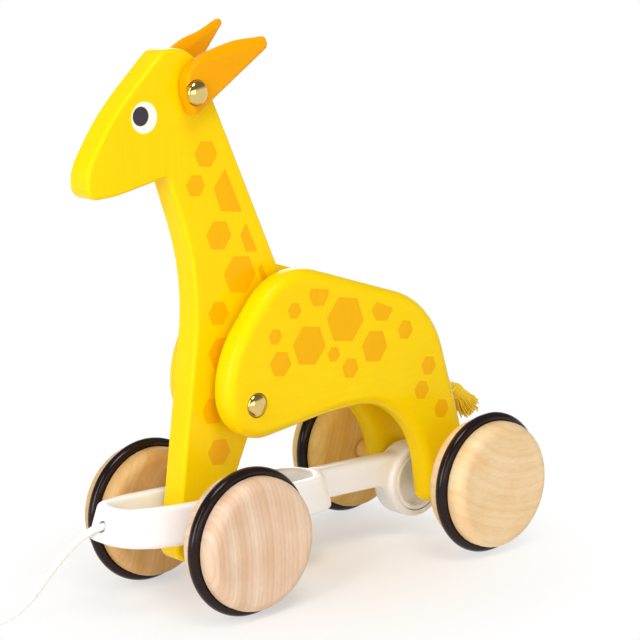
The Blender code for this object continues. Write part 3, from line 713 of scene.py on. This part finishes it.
def makeWheels():
    segments, shaft, section = wheel["segments"], wheel["axleRadius"], wheel["ringSection"]
    ring = arc(wheel["ringRadius"] - section, 0, section, 0, 351, 39)
    for end, axle in (("front", frontAxle), ("rear", rearAxle)):
        body = end + "_wheelset"
        for side, label in flanks:
            node = end + "_" + label
            name = end + label.capitalize()
            low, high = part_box(node + "_wheel")
            place = Vector((axle.x, (low.y + high.y) / 2, axle.z))
            disc = onSide(turnedMesh(wheelProfile(), segments), side)
            wood = woods[end.capitalize() + label.capitalize()]
            fit(makePiece(name + "Disc", disc, wood, place), body, "maple", node + "_wheel")
            tyre = makePiece(name + "Ring", turnedMesh(ring, segments, closed=True), rubber, place)
            fit(tyre, body, "black_rubber", node + "_tyre")
        low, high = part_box(end + "_axle")
        rod = makePiece(end + "Rod", rodMesh(shaft, low.y, high.y, wheel["edge"]), steel, axle)
        fit(rod, body, "steel", end + "_axle")
    for _, label in flanks:
        node = "rear_" + label + "_spacer"
        bush = bushMesh(node, shaft + gap, wheel["bushEdge"])
        # the spacers take the far rear wheel's darker amber maple, so they carry its painted shade
        bush = makePiece(label + "Bush", bush, woods["RearRight"], rearAxle)
        fit(bush, "rear_wheelset", "maple", node)
    print("wheels turned")


makeWheels()


# Pins and washers
pin = {
    "headRadius": 4.8 * mm, "headSoft": 0.25 * mm, "edge": 1.2 * mm, "dome": 2.2 * mm,
    "shoulderShaft": 3.0 * mm, "shoulderSeat": 2.0 * mm, "capSocket": 1.4 * mm, "washerEdge": 0.25 * mm,
    "earShaft": 2.0 * mm, "earSeat": 1.0 * mm, "earBite": 4.5 * mm,
}


def pinProfile(shaft, tip, seat):  # tip on the axis, then the shaft, then the domed head
    head, soft, edge = pin["headRadius"], pin["headSoft"], seat + pin["edge"]
    profile = [(0, tip), (shaft, tip), (shaft, seat), (head - soft, seat), (head, seat + soft)]
    for k in range(16):
        bend = pi / 2 * k / 16
        profile.append((head * cos(bend), edge + pin["dome"] * sin(bend)))
    return profile + [(0, edge + pin["dome"])]


def makePins(earSeat):
    seat = bodyOuter - pin["shoulderSeat"] + gap
    socket = bodyOuter - pin["shoulderSeat"] + pin["capSocket"]
    bolt = turnedMesh(pinProfile(pin["shoulderShaft"], gap - socket, seat), 72)
    fit(makePiece("shoulderBolt", bolt, brass, shoulder), "torso", "brass", "shoulder_pin")
    cap = turnedMesh(pinProfile(pin["shoulderShaft"] + gap, socket, seat), 72)
    fit(makePiece("shoulderNut", onSide(cap, -1), brass, shoulder), "torso", "brass", "shoulder_cap")
    for side, label in flanks:
        bolt = turnedMesh(pinProfile(pin["earShaft"], neckFace - pin["earBite"], earSeat + gap), 72)
        bolt = makePiece(label + "EarBolt", onSide(bolt, side), brass, earPivot)
        fit(bolt, "neck", "brass", label + "_ear_pin")
        node = label + "_shoulder_washer"
        disc = bushMesh(node, pin["shoulderShaft"] + gap, pin["washerEdge"])
        fit(makePiece(label + "Washer", disc, whiteAbs, shoulder), "torso", "white_plastic", node)
    print("pins set")


# Head, neck and front leg in one board; corners are about the front axle
neck = {
    "corners": [
        (49.2, 138.6, 5.0), (49.2, 149.8, 16.0), (36.0, 169.7, 100.0), (10.4, 192.3, 8.0),
        (-4.0, 192.3, 14.0), (-49.7, 83.9, 25.0), (-1.5, -12.4, 6.0), (16.3, -12.6, 6.5),
        (-2.7, 100.4, 100.0), (10.5, 143.4, 3.0), (35.9, 138.8, 60.0),
    ],
    "round": 1.5 * mm,
    # printed spots on the side faces in frame millimetres: x, z, width across the flats; dip in degrees
    "spotDip": 8.0,
    "spots": [
        (47.3, 180.1, 10.0), (53.1, 168.4, 8.2), (42.5, 147.2, 11.2), (32.6, 130.1, 14.4), (44.3, 116.1, 9.2),
        (43.4, 99.7, 12.3), (48.9, 77.1, 10.2), (47.0, 59.7, 10.2),
    ],
    "slivers": [
        [(38.0, 173.5), (30.2, 154.9), (41.1, 156.8), (44.2, 166.3)],
        [(28.3, 150.3), (23.0, 137.9), (29.1, 138.8), (31.6, 145.9)],
        [(21.4, 132.9), (17.1, 123.9), (20.7, 124.7), (23.1, 130.5)],
    ],
    "eye": (76.4, 197.5, 6.1),
    "pupil": (78.1, 198.2, 3.75),
}
printProud = 0.05 * mm  # how far a printed layer stands off the lacquer
printSunk = 0.03 * mm  # and how deep it is keyed in


def scaled(corners):  # millimetres to metres
    return [tuple(value * mm for value in corner) for corner in corners]


def hexagon(x, z, flats, dip):  # one pair of sides runs along the board, dipping to the rear
    reach = flats / sqrt(3)
    turns = [radians(60 * k + dip) for k in range(6)]
    return [(x + reach * cos(turn), z + reach * sin(turn)) for turn in turns]


def printed(outlines, face, layer=1):  # thin paint layers on the face at y = face
    side = copysign(1.0, face)
    bm = bmesh.new()
    for outline in outlines:
        low = [bm.verts.new((p.x, face - side * printSunk, p.y)) for p in outline]
        high = [bm.verts.new((p.x, face + side * printProud * layer, p.y)) for p in outline]
        stitch(bm, [low, high], wrap=False)
        bm.faces.new(low)
        bm.faces.new(high)
    return bm


def spotOutlines(board):
    shapes = [hexagon(*spot, board["spotDip"]) for spot in board["spots"]] + board["slivers"]
    return [roundedOutline(scaled([(x, z, 0.5) for x, z in shape]), 0.0, 15) for shape in shapes]


def discOutline(x, z, radius):
    return [Vector(((x + radius * cos(b)) * mm, (z + radius * sin(b)) * mm)) for b in spokes(64)]


def makeNeck():
    bm = plankMesh(scaled(neck["corners"]), -neckFace, neckFace, neck["round"])
    plank = makePiece("neckPlank", bm, neckPaint, frontAxle)
    reach = 2 * neckFace
    earDepth = neckFace - pin["earBite"] - gap
    carve(plank, [borer(wheel["axleRadius"] + gap, -reach, reach, frontAxle),
                  borer(pin["shoulderShaft"] + gap, -reach, reach, shoulder),
                  borer(pin["earShaft"] + gap, earDepth, reach, earPivot),
                  borer(pin["earShaft"] + gap, -reach, -earDepth, earPivot)])
    fit(plank, "neck", "yellow_wood", "neck_board")
    for side, label in flanks:
        face = side * neckFace
        spots = printed(spotOutlines(neck), face)
        fit(makePiece(label + "NeckSpots", spots, spotPaint), "neck", "orange_wood")
        white = printed([discOutline(*neck["eye"])], face)
        fit(makePiece(label + "EyeWhite", white, eyeWhite), "neck", "white_plastic")
        dark = printed([discOutline(*neck["pupil"])], face, 2)
        fit(makePiece(label + "EyePupil", dark, eyeDark), "neck", "black_rubber")
    print("neck cut")


# Ears, each drawn along its own line from the pin
ear = {
    # outline along the ear and across it, with the line where the upper edge is planed off on both faces
    "left": {"angle": 156, "planed": ((9.0, 8.6), (37.0, 0.4)), "corners": [
        (-4.6, -8.2, 1.8), (39.2, -2.0, 1.4), (41.0, 2.2, 1.6), (27.0, 8.1, 40.0), (12.0, 10.9, 25.0),
        (-0.5, 9.2, 8.0), (-4.3, 1.5, 9.0)]},
    "right": {"angle": 141, "planed": ((9.0, 7.0), (36.0, -0.6)), "corners": [
        (-4.6, -8.2, 1.8), (39.2, -1.9, 1.2), (39.6, 0.7, 1.2), (29.0, 3.6, 30.0), (21.0, 7.6, 20.0),
        (12.0, 9.8, 25.0), (-0.5, 9.2, 8.0), (-4.9, 1.5, 9.0)]},
    "planeAngles": (22, 36),  # on the inner and outer face
    "length": 40.0 * mm, "thickness": 6.0 * mm, "tipThickness": 3.4 * mm, "edge": 1.0 * mm,
    "support": 0.1 * mm, "grainSize": 0.3 * mm, "softening": 26,
}


def planeUpperEdge(bm, line):
    (startU, startV), (endU, endV) = scaled(line)
    over = Vector((startV - endV, endU - startU)).normalized()  # square to the line, towards the upper edge
    inside, outside = ear["planeAngles"]
    for face, outward, angle in ((0.0, -1, inside), (ear["thickness"], 1, outside)):
        lean = radians(angle)
        normal = Vector((over.x * sin(lean), outward * cos(lean), over.y * sin(lean)))
        cut = bmesh.ops.bisect_plane(bm, geom=bm.verts[:] + bm.edges[:] + bm.faces[:], dist=1e-7,
                                     plane_co=(startU, face, startV), plane_no=normal, clear_outer=True)
        rim = [item for item in cut["geom_cut"] if isinstance(item, bmesh.types.BMEdge)]
        bmesh.ops.contextual_create(bm, geom=rim)


def makeEars():
    inner, thick = neckFace + gap, ear["thickness"]
    seat = inner + thick - pin["earSeat"]
    for side, label in flanks:
        shape = ear[label]
        angle = radians(shape["angle"])
        along = Vector((cos(angle), sin(angle)))
        across = Vector((along.y, -along.x))
        bm = plankMesh(scaled(shape["corners"]), 0, thick, ear["edge"], 4, ear["support"])
        planeUpperEdge(bm, shape["planed"])
        for vert in bm.verts:  # thins towards the tip
            u, y, v = vert.co
            thickness = thick + (ear["tipThickness"] - thick) * max(0.0, u / ear["length"])
            spot = along * u + across * v
            vert.co = (spot.x, side * (inner + thick - thickness + y * thickness / thick), spot.y)
        leaf = makePiece(label + "EarLeaf", bm, earPaint, earPivot)
        soften(leaf, ear["grainSize"], ear["softening"])  # sanded edges
        far = side * (inner + 2 * thick)
        carve(leaf, [borer(pin["earShaft"] + gap, 0, far, earPivot)])
        carve(leaf, [borer(pin["headRadius"] + gap, side * seat, far, earPivot)])
        smoothFaces(leaf.data, 60)  # only the bores keep hard edges
        fit(leaf, label + "_ear", "orange_wood", label + "_ear")
    print("ears cut")
    return seat


# Body boards: the hind leg's corners are about the rear axle, the front's about the shoulder pin
bodyBoard = {
    "hind": [(5.8, 75.9, 39.0), (-11.9, 12.5, 35.0), (-11.9, -12.3, 5.0), (11.3, -12.3, 4.0),
             (16.9, 38.4, 38.0)],
    "front": [(-38.9, -11.2, 150.0), (14.5, -17.1, 19.0), (13.8, 20.0, 40.0), (-17.4, 55.5, 28.8)],
    "round": 4.5 * mm, "footHole": 4.3 * mm, "spotDip": 11.0,
    "spots": [
        (-10.2, 106.6, 17.9), (9.8, 99.1, 15.5), (-25.9, 92.6, 12.7), (16.9, 114.6, 6.4), (27.4, 105.7, 6.1),
        (25.2, 94.3, 9.8), (-3.3, 93.2, 5.9), (-12.1, 85.8, 8.0), (-43.6, 96.6, 7.7), (-56.6, 78.9, 7.6),
        (-52.2, 69.0, 7.6), (-63.5, 58.8, 7.6),
    ],
    "slivers": [
        [(9.1, 119.7), (7.8, 122.3), (-1.4, 120.5), (-1.9, 118.7), (1.3, 113.9), (7.1, 115.0)],
        [(-24.7, 108.3), (-27.8, 111.0), (-37.0, 106.8), (-33.2, 102.0), (-27.0, 103.3)],
    ],
}
rump = {
    "corners": [(-5.0, 30.0, 2.0), (18.0, 30.0, 2.0), (18.0, 56.0, 2.0), (2.6, 56.0, 2.0)],
    "round": 1.0 * mm, "dowelRadius": 3.0 * mm, "dowelBite": 6.0 * mm, "dowelEdge": 0.5 * mm,
    "dowels": [(12.8, 35.0), (12.8, 50.5)], "tailHoleDepth": 40.0 * mm,
}


def makeBody():
    leg = rearAxle - shoulder
    corners = [(x + leg.x, z + leg.z, radius) for x, z, radius in scaled(bodyBoard["hind"])]
    corners += scaled(bodyBoard["front"])
    dowel, dowelPlaces = rump["dowelRadius"], [nearRearAxle(*spot) for spot in rump["dowels"]]
    for side, label in flanks:
        bm = plankMesh(corners, bodyInner, bodyOuter, bodyBoard["round"])
        plank = makePiece(label + "BodyPlank", onSide(bm, side), bodyPaint, shoulder)
        far, seat = side * 2 * bodyOuter, side * (bodyOuter - pin["shoulderSeat"])
        carve(plank, [borer(pin["shoulderShaft"] + gap, 0, far, shoulder),
                      borer(bodyBoard["footHole"], 0, far, rearAxle)])
        carve(plank, [borer(pin["headRadius"] + gap, seat, far, shoulder)])
        blind = side * (bodyInner + rump["dowelBite"] + gap)
        carve(plank, [borer(dowel + gap, 0, blind, place) for place in dowelPlaces])
        fit(plank, "torso", "yellow_wood", label + "_body_board")
        spots = printed(spotOutlines(bodyBoard), side * bodyOuter)
        fit(makePiece(label + "BodySpots", spots, spotPaint), "torso", "orange_wood")
    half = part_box("rump_block")[1].y
    bm = plankMesh(scaled(rump["corners"]), -half, half, rump["round"], 4)
    block = makePiece("rumpBlock", bm, woods["Small"], rearAxle)
    tools = [borer(dowel + gap, -2 * half, 2 * half, place) for place in dowelPlaces]
    root, ahead, _ = tailLine()
    hole = makePiece("tailHole", rodMesh(tail["ropeRadius"] + gap, -gap, rump["tailHoleDepth"]), yarn, root)
    hole.rotation_euler = ahead.to_track_quat("Y", "Z").to_euler()
    carve(block, tools + [hole])
    fit(block, "torso", "maple", "rump_block")
    for label, place in zip(("lower", "upper"), dowelPlaces):
        low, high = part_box(label + "_rump_dowel")
        peg = rodMesh(dowel, low.y, high.y, rump["dowelEdge"], 40)
        fit(makePiece(label + "Peg", peg, woods["Small"], place), "torso", "maple", label + "_rump_dowel")
    print("body boards cut")


# Tail: three-ply rope out of the rump block, a whipped knob and a combed tuft; places are about the rear axle
tail = {
    "root": (6.0, 49.6), "knob": (-25.2, 27.5), "tuftSlope": 50, "tuftLength": 14.0 * mm, "fan": 6.0 * mm,
    "ropeRadius": 3.0 * mm, "twist": 3.2, "knobRadius": 2.8 * mm, "knobLength": 5.2 * mm, "knobTurns": 4,
    "yarnRadius": 0.95 * mm, "strands": 90, "strandRadius": 0.46 * mm, "tuftRoot": 1.8 * mm, "curl": 0.7 * mm,
}


def tailLine():  # root, direction and length of the rope up to the knob
    root, knob = nearRearAxle(*tail["root"]), nearRearAxle(*tail["knob"])
    return root, (knob - root).normalized(), (knob - root).length


def makeTail():
    root, ahead, length = tailLine()
    side = Vector((0, 1, 0))
    up = side.cross(ahead)
    bm = bmesh.new()
    ply = tail["ropeRadius"] / 2.15  # three plies side by side in the rope
    for strand in range(3):
        points = []
        for k in range(72):
            share = k / 71
            turn = 2 * pi * (strand / 3 + share * tail["twist"])
            points.append(root + ahead * (length * share) + swing(side, up, turn) * (ply * 1.12))
        addTube(bm, points, lambda share, turn: ply, sides=14)
    points = []
    count = tail["knobTurns"] * 32
    for k in range(count + 1):
        share = k / count
        turn = 2 * pi * tail["knobTurns"] * share
        swell = tail["knobRadius"] * (0.72 + 0.28 * sin(pi * share))
        along = length + tail["knobLength"] * (share - 0.5)
        points.append(root + ahead * along + swing(side, up, turn) * swell)

    def whipping(share, turn):  # thin at both ends
        return tail["yarnRadius"] * (0.5 + 0.5 * min(1.0, 12 * min(share, 1 - share)))

    addTube(bm, points, whipping, 12)
    slope = radians(tail["tuftSlope"])
    down = Vector((-cos(slope), 0, -sin(slope)))
    lift = side.cross(down)
    start = root + ahead * length
    golden = pi * (3 - sqrt(5))
    for k in range(tail["strands"]):
        spread = sqrt((k + 0.5) / tail["strands"])
        wave = sin(12.9898 * (k + 1)) * 43758.5453  # uneven, yet the same on each run
        ragged = wave - floor(wave)
        arm = swing(side, lift, golden * k)
        reach = tail["tuftLength"] * (0.80 + 0.26 * ragged) * (1.05 - 0.18 * spread)
        points = []
        for j in range(11):
            share = j / 10
            course = ahead.lerp(down, min(1.0, 1.6 * share)).normalized()
            width = tail["tuftRoot"] + (tail["fan"] - tail["tuftRoot"]) * share ** 0.9
            curl = tail["curl"] * share * sin(4 * share + 6.28 * ragged)
            points.append(start + course * (reach * share) + arm * (width * spread) + side.cross(arm) * curl)
        addTube(bm, points, lambda share, turn: tail["strandRadius"] * (1 - 0.3 * share), sides=7)
    fit(makePiece("tailYarn", bm, yarn, sharpAngle=70), "torso", "yellow_yarn", "tail")
    print("tail tied")


makePins(makeEars())
makeNeck()
makeBody()
makeTail()


# Camera at the photograph's place, in frame metres and degrees; the picture is 640 wide
camera = {
    "target": (-0.01464, 0.0, 0.10353), "distance": 0.97005,
    "azimuth": 48.78, "elevation": 12.20, "roll": -1.868,
    "focalPixels": 2334.63, "centre": (320.6, 318.0), "pictureSize": 640, "sensor": 36.0,
}


def makeCamera():
    c = camera
    azimuth, elevation, roll = (radians(c[key]) for key in ("azimuth", "elevation", "roll"))
    back = Vector((cos(elevation) * cos(azimuth), cos(elevation) * sin(azimuth),
                   sin(elevation)))
    level = Vector((0, 0, 1)).cross(back).normalized()
    upright = back.cross(level)
    right, up = swing(level, upright, roll), swing(upright, -level, roll)
    lens = bpy.data.cameras.new("studioCamera")
    lens.sensor_width = c["sensor"]
    lens.lens = c["focalPixels"] / c["pictureSize"] * c["sensor"]
    half = c["pictureSize"] / 2
    lens.shift_x = (half - c["centre"][0]) / c["pictureSize"]
    lens.shift_y = (c["centre"][1] - half) / c["pictureSize"]
    holder = bpy.data.objects.new("studioCamera", lens)
    scene.collection.objects.link(holder)
    place = Vector(c["target"]) + back * c["distance"]
    holder.matrix_world = Matrix.Translation(place) @ Matrix((right, up, back)).transposed().to_4x4()
    scene.camera = holder


# White sweep, a strip and a low box at the giraffe's front, a box overhead and a soft fill on either side
studio = {
    "ambient": 0.46, "floorSize": 9.0, "floorShade": 0.90, "floorColour": "#f5ede2",
    "shadowReach": (0.0, 0.125),  # metres over which the shadow fades into white
    "ceiling": (0.08, 0.30, 0.20),  # heights between which the white grows dim, and how dim it gets
    "aim": (0.0, 0.0, 0.10),
    "lamps": [  # name, place, width and height, watts
        ("frontStrip", (1.12, 0.42, 0.60), (0.13, 1.0), 5.0),
        ("frontLow", (1.2, 0.15, 0.30), (0.3, 0.6), 3.4),
        ("overhead", (0.25, 0.70, 1.40), (0.6, 0.6), 8.5),
        ("sideFill", (0.40, 1.4, 0.25), (1.2, 0.6), 3.2),
        ("farFill", (-0.7, -1.3, 0.5), (1.2, 0.8), 7.0),
    ],
}


def seenDirectly(add):  # 1 for camera, mirror and glass rays
    rays = add("LightPath", {}).node.outputs
    both = add("Math", {0: rays["Is Camera Ray"], 1: rays["Is Glossy Ray"]}, operation="ADD")
    return add("Math", {0: both, 1: rays["Is Transmission Ray"]}, operation="ADD", use_clamp=True)


def makeStudio():
    world = bpy.data.worlds.new("studioWhite")
    scene.world = world
    world.use_nodes = True
    tree = world.node_tree
    add = partial(addNode, tree)
    ambient = studio["ambient"]
    place = add("TexCoord", {}, "Generated")
    height = add("SeparateXYZ", {"Vector": place}, "Z")
    low, high, dim = studio["ceiling"]
    seen = add("MapRange", {"Value": height, "From Min": low, "From Max": high,
                            "To Min": 1 - ambient, "To Max": dim - ambient})
    glow = add("Math", {0: seenDirectly(add), 1: seen, 2: ambient}, operation="MULTIPLY_ADD")
    setInputs(tree.nodes["Background"], {"Color": (1, 1, 1, 1), "Strength": glow})

    bm = bmesh.new()
    bmesh.ops.create_grid(bm, x_segments=1, y_segments=1, size=studio["floorSize"])
    sweep = bpy.data.meshes.new("paperSweep")
    bm.to_mesh(sweep)
    bm.free()
    paper = bpy.data.materials.new("paperSweep")  # seamless white paper: matt, holds a soft shadow
    paper.use_nodes = True
    tree = paper.node_tree
    add = partial(addNode, tree)
    tree.nodes.remove(tree.nodes["Principled BSDF"])
    matt = add("BsdfDiffuse", {"Color": linear(studio["floorColour"])})
    white = add("Emission", {"Color": (1, 1, 1, 1), "Strength": 1.0})
    place = add("TexCoord", {}, "Object")
    reach = add("VectorMath", {0: place}, "Value", operation="LENGTH")
    near, far = studio["shadowReach"]
    fade = add("MapRange", {"Value": reach, "From Min": near, "From Max": far,
                            "To Min": 1 - studio["floorShade"]})
    lift = add("Math", {0: seenDirectly(add), 1: fade}, operation="MULTIPLY")
    mixed = add("MixShader", {0: lift, 1: matt, 2: white})
    setInputs(tree.nodes["Material Output"], {"Surface": mixed})
    sweep.materials.append(paper)
    ground = bpy.data.objects.new("paperSweep", sweep)
    scene.collection.objects.link(ground)

    for name, place, size, watts in studio["lamps"]:
        lamp = bpy.data.lights.new(name, "AREA")
        lamp.shape = "RECTANGLE"
        lamp.size, lamp.size_y = size
        lamp.energy = watts
        holder = bpy.data.objects.new(name, lamp)
        scene.collection.objects.link(holder)
        holder.location = place
        aim = Vector(studio["aim"]) - Vector(place)
        holder.rotation_euler = aim.to_track_quat("-Z", "Y").to_euler()


makeCamera()
makeStudio()
print("studio lit")
